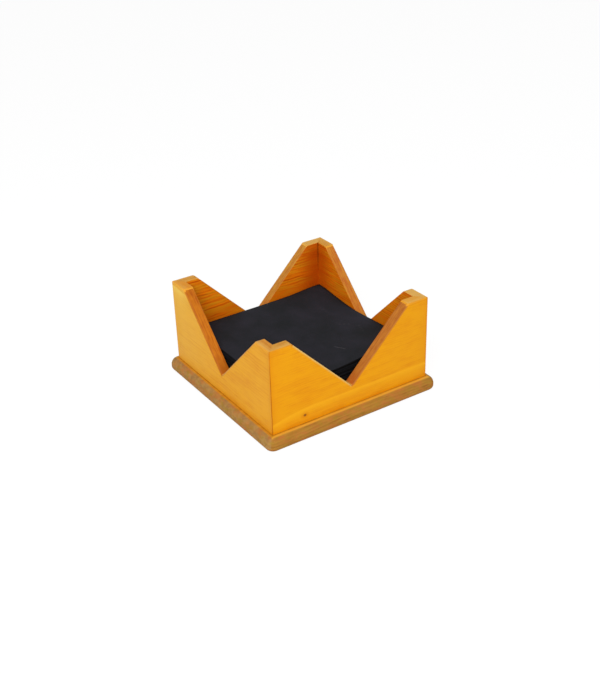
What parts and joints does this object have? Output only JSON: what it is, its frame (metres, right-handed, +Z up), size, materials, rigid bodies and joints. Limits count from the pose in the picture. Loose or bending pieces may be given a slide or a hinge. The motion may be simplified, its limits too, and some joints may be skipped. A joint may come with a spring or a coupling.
{
  "type": "napkin holder",
  "caption": "Square wooden box on a round-edged base board, with a V notch in each mitred wall, holding a stack of folded paper napkins.",
  "frame": {"origin": "middle of the base board's underside, on the surface that the holder stands on", "axes": "+Z up; the front board faces -Y and the right board faces +X"},
  "size_m": [0.207, 0.207, 0.107],
  "materials": {
    "wall_wood": "satin",
    "base_wood": "satin",
    "spline_wood": "matte",
    "screw_steel": "satin",
    "napkin_paper": "matte"
  },
  "bodies": {
    "holder": {"base_board": "base_wood", "front_board": "wall_wood", "right_board": "wall_wood", "back_board": "wall_wood", "left_board": "wall_wood", "spline_front_left": "spline_wood", "spline_front_right": "spline_wood", "spline_back_right": "spline_wood", "spline_back_left": "spline_wood", "base_screws": "screw_steel"},
    "napkin_stack": {"napkin_01": "napkin_paper", "napkin_02": "napkin_paper", "napkin_03": "napkin_paper", "napkin_04": "napkin_paper", "napkin_05": "napkin_paper", "napkin_06": "napkin_paper", "napkin_07": "napkin_paper", "napkin_08": "napkin_paper", "napkin_09": "napkin_paper", "napkin_10": "napkin_paper", "napkin_11": "napkin_paper", "napkin_12": "napkin_paper", "napkin_13": "napkin_paper", "napkin_14": "napkin_paper", "napkin_15": "napkin_paper", "napkin_16": "napkin_paper", "napkin_17": "napkin_paper", "napkin_18": "napkin_paper", "napkin_19": "napkin_paper", "napkin_20": "napkin_paper", "napkin_21": "napkin_paper", "napkin_22": "napkin_paper", "napkin_23": "napkin_paper", "napkin_24": "napkin_paper", "napkin_25": "napkin_paper", "napkin_26": "napkin_paper", "napkin_27": "napkin_paper", "napkin_28": "napkin_paper", "napkin_29": "napkin_paper"},
    "top_napkin": {"napkin_30": "napkin_paper"}
  },
  "joints": [
    {"name": "stack_lift", "type": "slide", "parent": "holder", "child": "napkin_stack", "axis": [0, 0, 1], "range_m": [0, 0.1]},
    {"name": "top_napkin_lift", "type": "slide", "parent": "napkin_stack", "child": "top_napkin", "axis": [0, 0, 1], "range_m": [0, 0.06]}
  ]
}
